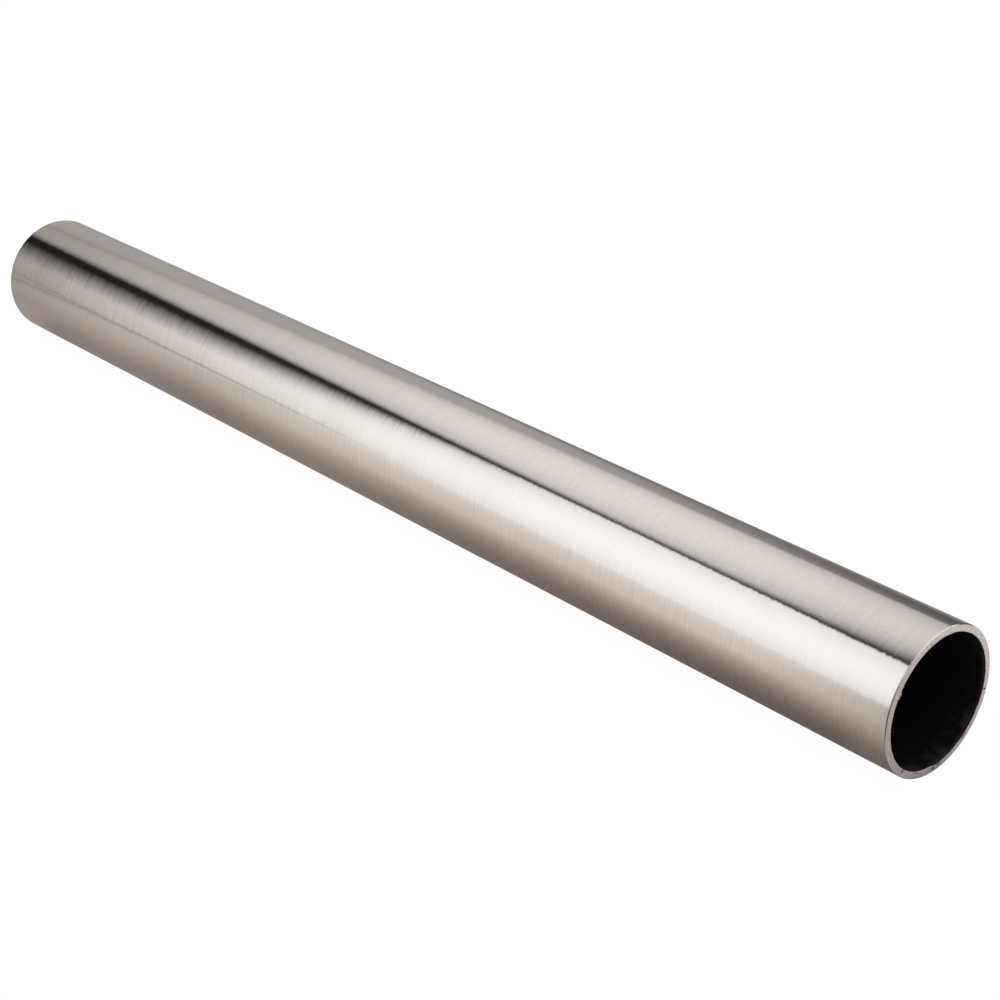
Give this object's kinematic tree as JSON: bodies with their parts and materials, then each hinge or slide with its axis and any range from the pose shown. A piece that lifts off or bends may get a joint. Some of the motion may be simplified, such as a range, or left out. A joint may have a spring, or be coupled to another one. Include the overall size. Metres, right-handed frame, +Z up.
{
  "type": "closet rod",
  "caption": "Round steel closet rod: a plain tube in brushed nickel finish, open at its square-cut ends, that hangs clothes between end brackets.",
  "frame": {"origin": "on the rod's axis, halfway between its two cut ends", "axes": "+X along the rod's axis, towards the end that is nearer in the picture; +Z up as the rod hangs or lies level; the rod is round, so Y and Z are alike"},
  "size_m": [0.326, 0.0332, 0.0334],
  "materials": {
    "brushed_nickel": "satin nickel plate over steel, brushed round the rod; bare cut rims and a dark unplated bore"
  },
  "bodies": {
    "root": {"rod_tube": "brushed_nickel"}
  },
  "joints": []
}
